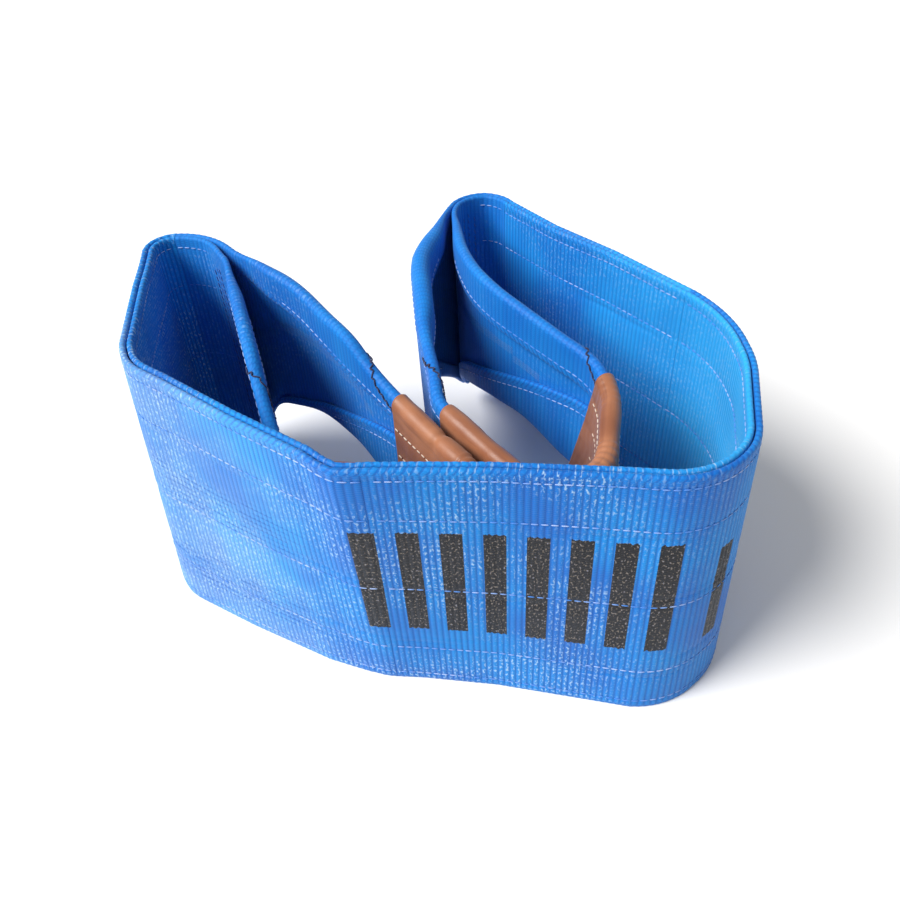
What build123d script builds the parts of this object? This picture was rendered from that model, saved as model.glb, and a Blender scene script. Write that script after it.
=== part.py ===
from build123d import *
import os
from dataclasses import dataclass
from math import cos, degrees, radians, sin

# A two-ply flat web sling, 240 mm wide, standing on the edge of its webbing and curled so
# that its two folded eyes meet behind its front wall. Millimetres, +Z up, the floor at z = 0
# and the origin under the middle of the whole sling. The front wall runs along X and faces -Y.

# Webbing
WEB_WIDTH = 240.0
PLY = 5.5
STRAIGHT = None

# Slots where the plies bend: wide ones in the two front bends, narrow ones at the throats
BEND_SLOT = 7.0
THROAT_SLOT = 3.0

# Middle line of the body, as runs of (radius, turn) or (STRAIGHT, length), left turns positive
LEFT_BEND = Vector(-213.6, -70.6)
LEFT_BEND_HEADING = -57.0
LEFT_BEND_RADIUS = 54.5
RIGHT_BEND_RADIUS = 64.5
FRONT_RUNS = [
    (LEFT_BEND_RADIUS, 26.5),
    (STRAIGHT, 170.0),
    (60.0, 24.5),
    (STRAIGHT, 190.0),
    (RIGHT_BEND_RADIUS, 43.0),
]
LEFT_WING_RUNS = [
    (LEFT_BEND_RADIUS, -23.0),
    (STRAIGHT, 142.0),
    (16.5, -100.0),
    (64.5, -46.0),
    (STRAIGHT, 12.0),
]
RIGHT_WING_RUNS = [
    (RIGHT_BEND_RADIUS, 43.0),
    (STRAIGHT, 58.0),
    (135.5, 50.7),
    (STRAIGHT, 228.0),
    (27.5, 121.0),
]

# Middle lines of the eye legs, from each throat to the straight before the tip
FAR_LEG_RUNS = [(120.0, 10.0), (STRAIGHT, 40.0), (200.0, -13.0)]
NEAR_LEG_RUNS = [(60.0, -23.0), (STRAIGHT, 171.0), (60.0, 54.0)]
LEFT_TIP_RADIUS = 14.0
OUTER_LEG_RUNS = [(STRAIGHT, 55.0), (150.0, 26.0), (STRAIGHT, 133.0), (38.0, 34.0)]
INNER_LEG_RUNS = [(60.0, 28.0), (STRAIGHT, 40.0), (170.0, 33.0), (STRAIGHT, 72.0), (90.0, -42.7)]
RIGHT_TIP_RADIUS = 38.0

# Heights of a leg's upper and lower edges, and of its flaps' edges, at shares of the way in Y
# from the throat to the tip
TOP_HEIGHTS = [(0.0, 238.0), (0.35, 235.0), (0.65, 213.0), (0.85, 202.0), (1.0, 197.0)]
LEFT_BOTTOM_HEIGHTS = [(0.0, 60.0), (0.17, 108.0), (0.4, 122.0), (0.65, 97.0), (1.0, 80.0)]
RIGHT_BOTTOM_HEIGHTS = [(0.0, 30.0), (0.25, 93.0), (0.46, 117.0), (0.65, 97.0), (1.0, 80.0)]
FLAP_START = 55.0
UPPER_FLAP_EDGE = [(0.0, 230.0), (0.62, 188.0)]
LEFT_LOWER_FLAP_EDGE = [(0.0, 110.0), (0.62, 163.0)]
RIGHT_LOWER_FLAP_EDGE = [(0.0, 62.0), (0.62, 163.0)]

# Wear sleeves, and how far each one reaches up the two legs of its eye
SLEEVE = 2.5
SLEEVE_CLEARANCE = 0.2
LEFT_SLEEVE_REACH = (76.0, 110.0)
RIGHT_SLEEVE_REACH = (76.0, 62.0)

# Threads: their rows lie on the faces of the webbing
THREAD_HEIGHT = 1.6
THREAD_PROUD = 0.5
BODY_ROWS = (9.0, 46.0, 120.0, 194.0, 231.0)
LEG_ROW_DROP = 11.0
CLOSING_SEAM_DROP = 5.0
CLOSING_SEAM_LENGTH = 44.0
SLEEVE_ROW_DROPS = (30.0, 58.0, 86.0)
CROSS_ROWS = 3
CROSS_ROW_STEP = 7.0
CROSS_ROW_MARGIN = 6.0
CROSS_ROW_REACH = (CROSS_ROWS + 1) * CROSS_ROW_STEP

# Longer than any part of the sling
REACH = 900.0


def ahead(heading):
    return Vector(cos(radians(heading)), sin(radians(heading)), 0)


def left_of(heading):
    return Vector(-sin(radians(heading)), cos(radians(heading)), 0)


def run_length(run):
    radius, amount = run
    return amount if radius is STRAIGHT else radians(abs(amount)) * radius


def part_of(run, distance):
    """A run cut down to the given length."""
    radius, amount = run
    if radius is STRAIGHT:
        return (STRAIGHT, distance)
    return (radius, degrees(distance / radius) * (1 if amount > 0 else -1))


@dataclass
class Route:
    """A line in plan: where it starts, its heading in degrees, and its runs."""

    start: Vector
    heading: float
    runs: list

    def length(self):
        return sum(run_length(run) for run in self.runs)

    def end(self):
        """The point and heading where the route ends."""
        point = self.start
        heading = self.heading
        for radius, amount in self.runs:
            if radius is STRAIGHT:
                point = point + ahead(heading) * amount
            else:
                side = radius if amount > 0 else -radius
                centre = point + left_of(heading) * side
                heading += amount
                point = centre - left_of(heading) * side
        return point, heading

    def first(self, distance):
        """The first stretch of the route."""
        runs = []
        for run in self.runs:
            taken = min(distance, run_length(run))
            if taken > 0:
                runs.append(part_of(run, taken))
            distance -= taken
        return Route(self.start, self.heading, runs)

    def backwards(self):
        """The same line walked from its end."""
        point, heading = self.end()
        runs = [(radius, amount if radius is STRAIGHT else -amount) for radius, amount in self.runs]
        return Route(point, heading + 180, runs[::-1])

    def last(self, distance):
        """The last stretch of the route."""
        return self.backwards().first(distance).backwards()

    def without(self, at_start, at_end):
        """The route with a stretch cut off each end."""
        return self.last(self.length() - at_start).first(self.length() - at_start - at_end)


def draw_line(route, side):
    """Draw the line that keeps side millimetres to the left of a route; returns its ends."""
    heading = route.heading
    point = route.start + left_of(heading) * side
    start = point
    for radius, amount in route.runs:
        if radius is STRAIGHT:
            run = Line(point, point + ahead(heading) * amount)
        else:
            inward = side if amount > 0 else -side
            run = JernArc(point, ahead(heading), radius - inward, amount)
            heading += amount
        point = run @ 1
    return start, point


def draw_strip(route, side_a, side_b):
    """Draw the closed outline between two such lines."""
    start_a, end_a = draw_line(route, side_a)
    start_b, end_b = draw_line(route, side_b)
    Line(start_a, start_b)
    Line(end_a, end_b)


def band(route, side_a, side_b):
    """An upright band of webbing, the full width high."""
    with BuildPart() as piece:
        with BuildSketch():
            with BuildLine():
                draw_strip(route, side_a, side_b)
            make_face()
        extrude(amount=WEB_WIDTH)
    return piece


def finish(piece, name):
    """Label a finished piece and write it."""
    piece.part.label = name
    export_step(piece.part, f"parts/{name}.step")


class Eye:
    """A folded eye. Its first leg is the outer ply's and its second leg is the inner ply's;
    outward is +1 where the outer ply lies on the left of the routes, and -1 on the right."""

    def __init__(
        self, name, throat, legs, tip_radius, outward, sleeve_reach, bottom_heights, lower_flap_edge
    ):
        self.name = name
        self.outward = outward
        self.bottom_heights = bottom_heights
        self.lower_flap_edge = lower_flap_edge
        first = Route(*throat, legs[0])
        second = Route(*throat, legs[1])
        straights, tip_turn = self.closing_runs(first, second, tip_radius)
        first = Route(*throat, first.runs + [(STRAIGHT, straights[0])])
        second = Route(*throat, second.runs + [(STRAIGHT, straights[1])])
        tip = Route(*first.end(), [(tip_radius, tip_turn)])
        sleeved = first.last(sleeve_reach[0])
        self.bearing = Route(
            sleeved.start,
            sleeved.heading,
            sleeved.runs + tip.runs + second.last(sleeve_reach[1]).backwards().runs,
        )
        self.legs = (
            first.without(THROAT_SLOT / 2, sleeve_reach[0]),
            second.without(THROAT_SLOT / 2, sleeve_reach[1]),
        )
        self.throat_y = throat[0].Y
        self.tip_y = min(first.end()[0].Y, tip.end()[0].Y)
        self.length = first.length() + tip.length() / 2

    def closing_runs(self, first, second, tip_radius):
        """The straights that take both legs to the ends of one tip arc, and the arc's turn."""
        first_point, first_heading = first.end()
        second_point, second_heading = second.end()
        sign = -self.outward
        turn = sign * (sign * (second_heading + 180 - first_heading) % 360)
        across = (left_of(first_heading) - left_of(first_heading + turn)) * (sign * tip_radius)
        gap = second_point - first_point - across
        way_in = ahead(first_heading)
        way_out = ahead(second_heading) * -1
        area = way_in.X * way_out.Y - way_in.Y * way_out.X
        straight_in = (gap.X * way_out.Y - gap.Y * way_out.X) / area
        straight_out = (way_in.X * gap.Y - way_in.Y * gap.X) / area
        return (straight_in, straight_out), turn

    def side_points(self, heights, raised=0.0):
        """Points (y, z) of an edge line in the view along X."""
        way = self.tip_y - self.throat_y
        return [(self.throat_y + way * share, height + raised) for share, height in heights]

    def draw_side(self, upper, lower):
        """Draw the outline between two edge lines in the view along X, run on past both ends."""
        ends = []
        for points in (upper, lower):
            edge = Spline(*points)
            before = Line(edge @ 0, (edge @ 0) + Vector(REACH, 0))
            after = Line(edge @ 1, (edge @ 1) - Vector(REACH, 0))
            ends.append((before @ 1, after @ 1))
        Line(ends[0][0], ends[1][0])
        Line(ends[0][1], ends[1][1])

    def band(self, route, side_a, side_b, upper, lower):
        """A band along a route, cut to the outline between two edge lines."""
        with BuildPart() as piece:
            with BuildSketch():
                with BuildLine():
                    draw_strip(route, side_a, side_b)
                make_face()
            extrude(amount=WEB_WIDTH)
            with BuildSketch(Plane.YZ):
                with BuildLine():
                    self.draw_side(upper, lower)
                make_face()
            extrude(amount=REACH, both=True, mode=Mode.INTERSECT)
        return piece

    def folded_band(self, route, side_a, side_b, grow=0.0):
        upper = self.side_points(TOP_HEIGHTS, grow)
        lower = self.side_points(self.bottom_heights, -grow)
        return self.band(route, side_a, side_b, upper, lower)

    def leg_sides(self):
        """Each leg with the sign of the side that looks away from the eye."""
        return ((self.legs[0], self.outward), (self.legs[1], -self.outward))


def folded_leg(eye, route, outside):
    """A leg: one ply outside, its two edges folded in over the inner face as flaps that widen
    from the throat to the sleeve."""
    outer = eye.folded_band(route, 0, outside * PLY)
    flapped = route.without(FLAP_START, 0)
    inner = eye.folded_band(flapped, 0, -outside * PLY)
    upper_edge = eye.side_points(UPPER_FLAP_EDGE)
    lower_edge = eye.side_points(eye.lower_flap_edge)
    with BuildPart() as leg:
        add(inner.part)
        with BuildSketch(Plane.YZ):
            with BuildLine():
                Polyline(upper_edge[0], upper_edge[1], lower_edge[1], lower_edge[0], close=True)
            make_face()
        extrude(amount=REACH, both=True, mode=Mode.SUBTRACT)
        add(outer.part)
    return leg


def wear_sleeve(eye):
    """The sleeve round the bearing: a flat tube, open at both ends."""
    hollow = PLY + SLEEVE_CLEARANCE
    outer = eye.folded_band(eye.bearing, -hollow - SLEEVE, hollow + SLEEVE, SLEEVE_CLEARANCE + SLEEVE)
    inner = eye.folded_band(eye.bearing, -hollow, hollow, SLEEVE_CLEARANCE)
    with BuildPart() as sleeve:
        add(outer.part)
        add(inner.part, mode=Mode.SUBTRACT)
    return sleeve


def seam(eye, places, drops):
    """Rows of thread that keep the given drops below the upper edge. Each place is a route,
    the distance of the webbing's face left of it, and the side that face looks to."""
    with BuildPart() as rows:
        for route, face, looks in places:
            for drop in drops:
                upper = eye.side_points(TOP_HEIGHTS, -drop)
                lower = eye.side_points(TOP_HEIGHTS, -drop - THREAD_HEIGHT)
                row = eye.band(route, face, face + looks * THREAD_PROUD, upper, lower)
                add(row.part)
    return rows


def lengthwise_seams(route):
    """The rows of thread that run along both faces of a stretch of the body."""
    with BuildPart() as rows:
        for height in BODY_ROWS:
            for looks in (-1, 1):
                with BuildSketch(Plane.XY.offset(height - THREAD_HEIGHT / 2)):
                    with BuildLine():
                        draw_strip(route, looks * PLY, looks * (PLY + THREAD_PROUD))
                    make_face()
                extrude(amount=THREAD_HEIGHT)
    return rows


def throat_seam(route):
    """The rows of thread across the body, on both faces, that close the foot of an eye."""
    with BuildPart() as rows:
        for number in range(CROSS_ROWS):
            stretch = route.without(0, number * CROSS_ROW_STEP).last(THREAD_HEIGHT)
            for looks in (-1, 1):
                with BuildSketch(Plane.XY.offset(BODY_ROWS[0] + CROSS_ROW_MARGIN)):
                    with BuildLine():
                        draw_strip(stretch, looks * PLY, looks * (PLY + THREAD_PROUD))
                    make_face()
                extrude(amount=BODY_ROWS[-1] - BODY_ROWS[0] - 2 * CROSS_ROW_MARGIN)
    return rows


def make_body_stretch(name, route, outward):
    """Both plies of one stretch of the body."""
    finish(band(route, 0, outward * PLY), f"{name}_outer_ply")
    finish(band(route, 0, -outward * PLY), f"{name}_inner_ply")


def make_wing_seams(side, route):
    """The seams of a wing: lengthwise ones, and those across it at the foot of the eye."""
    finish(lengthwise_seams(route.without(0, CROSS_ROW_REACH)), f"{side}_wing_lengthwise_seams")
    finish(throat_seam(route.without(0, CROSS_ROW_STEP)), f"{side}_throat_cross_seam")


def make_eye(eye, leg_names):
    """Every piece of one eye."""
    for leg_name, (route, outside) in zip(leg_names, eye.leg_sides()):
        finish(folded_leg(eye, route, outside), f"{eye.name}_{leg_name}_leg")
        outer_face = (route, outside * PLY, outside)
        finish(seam(eye, [outer_face], [LEG_ROW_DROP]), f"{eye.name}_{leg_name}_leg_seam")
        closing = route.last(CLOSING_SEAM_LENGTH)
        inner_face = (closing, -outside * PLY, -outside)
        finish(seam(eye, [inner_face], [CLOSING_SEAM_DROP]), f"{eye.name}_{leg_name}_closing_seam")
    finish(eye.folded_band(eye.bearing, -PLY, PLY), f"{eye.name}_bearing_web")
    finish(wear_sleeve(eye), f"{eye.name}_wear_sleeve")
    skin = PLY + SLEEVE_CLEARANCE + SLEEVE
    faces = [(eye.bearing, looks * skin, looks) for looks in (-1, 1)]
    finish(seam(eye, faces, SLEEVE_ROW_DROPS), f"{eye.name}_sleeve_seams")


os.makedirs("parts", exist_ok=True)

front = Route(LEFT_BEND, LEFT_BEND_HEADING, FRONT_RUNS)
right_bend = front.end()
right_wing = Route(*right_bend, RIGHT_WING_RUNS)
left_wing = Route(LEFT_BEND, LEFT_BEND_HEADING + 180, LEFT_WING_RUNS)

left_eye = Eye(
    "left_eye",
    left_wing.end(),
    (FAR_LEG_RUNS, NEAR_LEG_RUNS),
    LEFT_TIP_RADIUS,
    1,
    LEFT_SLEEVE_REACH,
    LEFT_BOTTOM_HEIGHTS,
    LEFT_LOWER_FLAP_EDGE,
)
right_eye = Eye(
    "right_eye",
    right_wing.end(),
    (OUTER_LEG_RUNS, INNER_LEG_RUNS),
    RIGHT_TIP_RADIUS,
    -1,
    RIGHT_SLEEVE_REACH,
    RIGHT_BOTTOM_HEIGHTS,
    RIGHT_LOWER_FLAP_EDGE,
)

front_stretch = front.without(BEND_SLOT / 2, BEND_SLOT / 2)
left_stretch = left_wing.without(BEND_SLOT / 2, THROAT_SLOT / 2)
right_stretch = right_wing.without(BEND_SLOT / 2, THROAT_SLOT / 2)

make_body_stretch("front", front_stretch, -1)
make_body_stretch("left_wing", left_stretch, 1)
make_body_stretch("right_wing", right_stretch, -1)
finish(lengthwise_seams(front_stretch), "front_lengthwise_seams")
make_wing_seams("left", left_stretch)
make_wing_seams("right", right_stretch)
make_eye(left_eye, ("far", "near"))
make_eye(right_eye, ("outer", "inner"))

body_length = front.length() + left_wing.length() + right_wing.length()
print("left bend axis", LEFT_BEND)
print("right bend axis", right_bend[0])
print("left throat axis", left_wing.end()[0])
print("right throat axis", right_wing.end()[0])
print("body length", body_length)
print("eye lengths", left_eye.length, right_eye.length)
print("working length", body_length + left_eye.length + right_eye.length)
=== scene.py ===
from math import cos, pi, radians, sin

import bpy
import numpy as np
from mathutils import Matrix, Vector


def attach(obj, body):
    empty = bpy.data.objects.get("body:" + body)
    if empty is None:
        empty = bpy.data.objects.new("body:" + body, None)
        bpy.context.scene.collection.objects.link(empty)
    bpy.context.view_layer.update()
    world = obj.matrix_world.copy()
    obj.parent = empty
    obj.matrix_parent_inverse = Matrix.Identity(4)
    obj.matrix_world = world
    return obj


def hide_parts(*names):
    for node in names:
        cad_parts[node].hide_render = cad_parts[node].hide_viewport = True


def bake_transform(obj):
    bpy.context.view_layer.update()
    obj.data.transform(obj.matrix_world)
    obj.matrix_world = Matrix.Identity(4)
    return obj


# The visual model of the flat web sling. Lengths are in millimetres until a mesh is made.

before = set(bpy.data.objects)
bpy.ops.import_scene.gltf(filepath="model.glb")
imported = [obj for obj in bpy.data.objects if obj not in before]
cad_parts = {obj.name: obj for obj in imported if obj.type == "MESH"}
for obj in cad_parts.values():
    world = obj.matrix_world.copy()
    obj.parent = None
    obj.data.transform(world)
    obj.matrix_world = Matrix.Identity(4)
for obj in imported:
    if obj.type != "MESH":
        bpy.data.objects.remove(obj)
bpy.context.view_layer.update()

MM = 0.001
STRAIGHT = None

# Plan of the sling, as in the CAD source: runs of (radius, turn) or (STRAIGHT, length)
WEB_WIDTH = 240.0
PLY = 5.5
LEFT_BEND = (-213.6, -70.6)
LEFT_BEND_HEADING = -57.0
FRONT_RUNS = [(54.5, 26.5), (STRAIGHT, 170), (60, 24.5), (STRAIGHT, 190), (64.5, 43)]
LEFT_WING_RUNS = [(54.5, -23), (STRAIGHT, 142), (16.5, -100), (64.5, -46), (STRAIGHT, 12)]
RIGHT_WING_RUNS = [(64.5, 43), (STRAIGHT, 58), (135.5, 50.7), (STRAIGHT, 228), (27.5, 121)]
FAR_LEG_RUNS = [(120, 10), (STRAIGHT, 40), (200, -13)]
NEAR_LEG_RUNS = [(60, -23), (STRAIGHT, 171), (60, 54)]
LEFT_TIP_RADIUS = 14.0
OUTER_LEG_RUNS = [(STRAIGHT, 55), (150, 26), (STRAIGHT, 133), (38, 34)]
INNER_LEG_RUNS = [(60, 28), (STRAIGHT, 40), (170, 33), (STRAIGHT, 72), (90, -42.7)]
RIGHT_TIP_RADIUS = 38.0

# Heights of a leg's edges and of its flaps' edges, at shares of the way in Y to the tip
FAR_TOP = [
    (0, 245), (0.12, 247), (0.36, 236), (0.47, 230), (0.55, 217), (0.65, 208), (1, 197),
]
NEAR_TOP = [(0, 244), (0.35, 233), (0.5, 222), (0.65, 200), (0.85, 191), (1, 197)]
RIGHT_TOP = [(0, 241), (0.35, 238), (0.65, 216), (0.85, 204), (1, 197)]
LEFT_BOTTOM = [
    (0, 60), (0.07, 90), (0.17, 108), (0.38, 122), (0.48, 120), (0.65, 97), (1, 80),
]
RIGHT_BOTTOM = [
    (0, 28), (0.08, 54), (0.27, 97), (0.46, 117), (0.52, 116), (0.65, 97), (1, 80),
]
UPPER_FLAP_EDGE = [(0, 230), (0.62, 188), (1, 174)]
LEFT_LOWER_FLAP_EDGE = [(0, 75), (0.2, 118), (0.42, 145), (0.62, 163), (1, 166)]
RIGHT_LOWER_FLAP_EDGE = [
    (0, 50), (0.1, 75), (0.27, 118), (0.42, 143), (0.62, 163), (1, 166),
]
# How far each sleeve reaches from its tip along the two legs
LEFT_SLEEVE_REACH = (76, 110)
RIGHT_SLEEVE_REACH = (76, 62)

# How far the wall leans to the inner side at its top and bottom edges, along the body
TOP_LEAN = [
    (0, -1), (70, -3), (150, -2), (250, 3), (300, 1), (372, -5), (440, -8), (464, -12.5), (480, -8.5),
    (520, -4), (560, 0), (640, 4), (730, 6), (860, 5), (940, -1), (1030, -2), (1100, 3), (1165, 0),
    (1195, -6), (1228, -4), (1290, 0),
]
BOTTOM_LEAN = [
    (0, 0), (60, 0), (150, -4), (215, -10), (270, -13.5), (340, -11), (420, -4.5), (460, 4), (500, 6),
    (560, 5.5), (625, 0), (665, -3.5), (720, 0), (760, -2), (850, 0), (1228, 0),
]

# How far each leg bellies away from its eye: (distance past the throat, at the top, at the bottom)
SPLAY = {
    ("left", 0): [(0, 0, 0), (1, 0, 0)],
    ("left", 1): [(-36, 0, 0), (0, 6, 0), (50, 9, 2), (170, 9, 3), (225, 6, 3), (300, 0, 0)],
    ("right", 0): [(0, 0, 0), (50, 3, 0), (100, 7, 3), (180, 7, 3), (235, 1, 0), (300, 0, 0)],
    ("right", 1): [(120, 0, 0), (230, 6, 3), (262, 9, 5), (295, 7, 4), (345, 0, 0)],
}
# How far the top edge stands above the rest of the body at the left curl
LEFT_CURL_RISE = 5

# The webbing's surface: ribs across the faces, and a twist along the corded edges
RIB = 4.6
RIB_HEIGHT = 0.45
RIB_STEPS = (0.0, 0.12, 0.32, 0.5, 0.68, 0.88)
WEB_HALF = 2.15
CORD_START, CORD_FULL = 4.6, 3.0
TWIST_PITCH = 5.4
TWIST_HEIGHT = 0.22
TWIST_SLANT = 1.1
THREAD_ROWS = (9.0, 46.0, 120.0, 194.0, 231.0)
CREASE_ROWS = (39.0, 53.0, 60.0, 112.0, 128.0, 135.0, 187.0)
# The most that a face may stand off its ply's middle where the other ply lies against it
INNER_STAND = PLY / 2 - 0.1
# The lowest that any webbing comes
FLOOR_GAP = 0.15
# The rise of the lower edge starts this far before the throat
LOWER_RISE = 54.0


def smooth(low, high, value):
    share = np.clip((value - low) / (high - low), 0, 1)
    return share * share * (3 - 2 * share)


def curve(points, where):
    """A smooth line through points (x, y), level beyond both ends."""
    xs, ys = np.array(points, float).T
    slopes = np.diff(ys) / np.diff(xs)
    inner = np.where(slopes[1:] * slopes[:-1] > 0, (slopes[1:] + slopes[:-1]) / 2, 0)
    tangents = np.concatenate([[slopes[0]], inner, [0]])
    at = np.clip(where, xs[0], xs[-1])
    k = np.clip(np.searchsorted(xs, at, side="right") - 1, 0, len(xs) - 2)
    width = xs[k + 1] - xs[k]
    t = (at - xs[k]) / width
    return (
        (2 * t**3 - 3 * t**2 + 1) * ys[k]
        + (t**3 - 2 * t**2 + t) * width * tangents[k]
        + (3 * t**2 - 2 * t**3) * ys[k + 1]
        + (t**3 - t**2) * width * tangents[k + 1]
    )


def wander(where, seed, reach, strength):
    """A smooth random line: a few waves of about the given reach."""
    source = np.random.default_rng(seed)
    total = np.zeros(np.shape(where))
    for _ in range(5):
        length, phase = reach * source.uniform(0.6, 1.8), source.uniform(0, 6.28)
        total = total + np.sin(np.asarray(where) * 2 * pi / length + phase)
    return total * strength / 5


def reverse(runs):
    return [(radius, amount if radius is STRAIGHT else -amount) for radius, amount in runs][::-1]


class Plan:
    """A line in plan, read at any distance along it. Its own headings are in degrees."""

    def __init__(self, start, heading, runs):
        self.runs = runs
        self.marks = [0.0]
        self.states = [(*start, heading)]
        for number, (radius, amount) in enumerate(runs):
            straight = radius is STRAIGHT
            length = amount if straight else radians(abs(amount)) * radius
            x, y, _ = self.run_at(number, length)
            heading += 0 if straight else amount
            self.states.append((x, y, heading))
            self.marks.append(self.marks[-1] + length)
        self.end, self.end_heading = (x, y), heading
        self.length = self.marks[-1]

    def run_at(self, number, gone):
        """Points and headings (radians) at distances into a run."""
        x, y, heading = self.states[number]
        heading = radians(heading)
        radius, amount = self.runs[number]
        if radius is STRAIGHT:
            return x + gone * cos(heading), y + gone * sin(heading), heading
        side = radius if amount > 0 else -radius
        turned = heading + gone / side
        x = x - sin(heading) * side + np.sin(turned) * side
        return x, y + cos(heading) * side - np.cos(turned) * side, turned

    def at(self, distance):
        """Points and headings (radians) at distances, the end runs carried on past the ends."""
        s = np.asarray(distance, float)
        k = np.clip(np.searchsorted(self.marks, s, side="right") - 1, 0, len(self.runs) - 1)
        found = np.zeros((3, *s.shape))
        for number, mark in enumerate(self.marks[:-1]):
            here = k == number
            parts = self.run_at(number, s[here] - mark)
            found[:, here] = np.stack(np.broadcast_arrays(*parts))
        return found


def closing_runs(throat, heading, first_runs, second_runs, tip_radius, outward):
    """The straights that bring two legs to one tip arc, and the arc's turn."""
    first = Plan(throat, heading, first_runs)
    second = Plan(throat, heading, second_runs)
    sign = -outward
    turn = sign * (sign * (second.end_heading + 180 - first.end_heading) % 360)
    h1, h2 = radians(first.end_heading), radians(first.end_heading + turn)
    across = (sign * tip_radius * (sin(h2) - sin(h1)), sign * tip_radius * (cos(h1) - cos(h2)))
    gap = (second.end[0] - first.end[0] - across[0], second.end[1] - first.end[1] - across[1])
    h3 = radians(second.end_heading)
    ways = [[cos(h1), -cos(h3)], [sin(h1), -sin(h3)]]
    straight_in, straight_out = np.linalg.solve(ways, gap)
    return straight_in, straight_out, turn


class EyePlan:
    """Both legs of an eye, from the throat to the middle of the tip."""

    def __init__(self, throat, heading, first_runs, second_runs, tip_radius, outward, reach):
        closing = closing_runs(throat, heading, first_runs, second_runs, tip_radius, outward)
        straight_in, straight_out, turn = closing
        self.outward = outward
        self.reach = reach
        self.half_tip = radians(abs(turn)) * tip_radius / 2
        self.runs = (
            first_runs + [(STRAIGHT, straight_in), (tip_radius, turn / 2)],
            second_runs + [(STRAIGHT, straight_out), (tip_radius, -turn / 2)],
        )
        self.legs = [Plan(throat, heading, runs) for runs in self.runs]
        self.throat_y = throat[1]
        to_tip = first_runs + [(STRAIGHT, straight_in)]
        past_tip = to_tip + [(tip_radius, turn)]
        self.tip_y = min(Plan(throat, heading, runs).end[1] for runs in (to_tip, past_tip))
        self.loop = Plan(throat, heading, self.runs[0] + reverse(self.runs[1]))

    def share(self, y):
        return (y - self.throat_y) / (self.tip_y - self.throat_y)

    def sleeve_start(self, number):
        return self.legs[number].length - self.half_tip - self.reach[number]


front = Plan(LEFT_BEND, LEFT_BEND_HEADING, FRONT_RUNS)
left_wing = Plan(LEFT_BEND, LEFT_BEND_HEADING + 180, LEFT_WING_RUNS)
right_wing = Plan(front.end, front.end_heading, RIGHT_WING_RUNS)
LEFT_THROAT, RIGHT_THROAT = left_wing.end, right_wing.end
BODY_RUNS = reverse(LEFT_WING_RUNS) + FRONT_RUNS + RIGHT_WING_RUNS
left_eye = EyePlan(
    LEFT_THROAT, left_wing.end_heading, FAR_LEG_RUNS, NEAR_LEG_RUNS, LEFT_TIP_RADIUS, 1,
    LEFT_SLEEVE_REACH,
)
right_eye = EyePlan(
    RIGHT_THROAT, right_wing.end_heading, OUTER_LEG_RUNS, INNER_LEG_RUNS, RIGHT_TIP_RADIUS, -1,
    RIGHT_SLEEVE_REACH,
)
LEFT_HINGE = left_wing.length
RIGHT_HINGE = left_wing.length + front.length
BODY_END = RIGHT_HINGE + right_wing.length


class PlyLine:
    """One ply from tip to tip. Distances run from 0 at the left throat to BODY_END at the right
    one, below 0 on the left eye's leg and above BODY_END on the right eye's."""

    def __init__(self, number):
        self.number = number
        self.side = -1 if number == 0 else 1
        back = left_eye.legs[number]
        self.before = back.length
        runs = reverse(left_eye.runs[number]) + BODY_RUNS + right_eye.runs[number]
        self.plan = Plan(back.end, back.end_heading + 180, runs)
        self.first = -self.before
        self.last = BODY_END + right_eye.legs[number].length

    def at(self, s):
        return self.plan.at(np.asarray(s, float) + self.before)

    def leg_distance(self, s):
        """How far past its throat a point is, or 0 on the body."""
        return np.maximum(np.maximum(-s, s - BODY_END), 0)

    def share(self, s, y):
        return np.where(s < BODY_END / 2, left_eye.share(y), right_eye.share(y))

    def lower_edge(self, s, share):
        """Height of the lower edge, which starts to rise a little before the throat."""
        rise = np.where(s < BODY_END / 2, curve(LEFT_BOTTOM, share), curve(RIGHT_BOTTOM, share))
        return rise * smooth(LOWER_RISE, 0, np.minimum(s, BODY_END - s))

    def upper_edge(self, s, share):
        """Height of the upper edge of a leg."""
        left_top = curve(NEAR_TOP if self.number else FAR_TOP, share)
        return np.where(s < BODY_END / 2, left_top, curve(RIGHT_TOP, share))

    def splay(self, s, z):
        """How far a leg stands away from its eye at a height, beyond its line in plan."""
        total = np.zeros(np.broadcast(s, z).shape)
        for eye, past in (("left", -s), ("right", s - BODY_END)):
            where, top, bottom = np.array(SPLAY[eye, self.number], float).T
            reach = np.interp(past, where, bottom)
            reach = reach + (np.interp(past, where, top) - reach) * np.clip(z / WEB_WIDTH, 0, 1)
            total = total + reach * (past > where[0])
        return total

    def in_sleeve(self, s):
        """1 well inside a sleeve, 0 outside it."""
        left, right = (eye.sleeve_start(self.number) for eye in (left_eye, right_eye))
        return smooth(1, 9, self.leg_distance(s) - np.where(s < BODY_END / 2, left, right))


plies = [PlyLine(0), PlyLine(1)]


def lean(s, z):
    """How far to the left of the line the wall stands at a height."""
    top = np.interp(s, *np.array(TOP_LEAN, float).T)
    bottom = np.interp(s, *np.array(BOTTOM_LEAN, float).T)
    return bottom + (top - bottom) * np.clip(z / WEB_WIDTH, 0, 1)


def curl_scale(s):
    """What heights are multiplied by, as the webbing is raised at the left curl."""
    return 1 + LEFT_CURL_RISE * smooth(130, 40, s) / WEB_WIDTH


def rib_rise(s):
    """Height of the ribs' surface over their valleys."""
    phase = np.abs((s / RIB) % 1.0 - 0.5) * 2
    return RIB_HEIGHT * (1 - phase**1.9)


def stations(low, high):
    """Distances of the rings between two places, so placed that each rib keeps its shape."""
    first, last = int(round(low / RIB)), int(round(high / RIB))
    ribs = np.arange(first, last)[:, None] + np.array(RIB_STEPS)[None, :]
    return np.concatenate([ribs.ravel(), [last]]) * RIB


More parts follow.
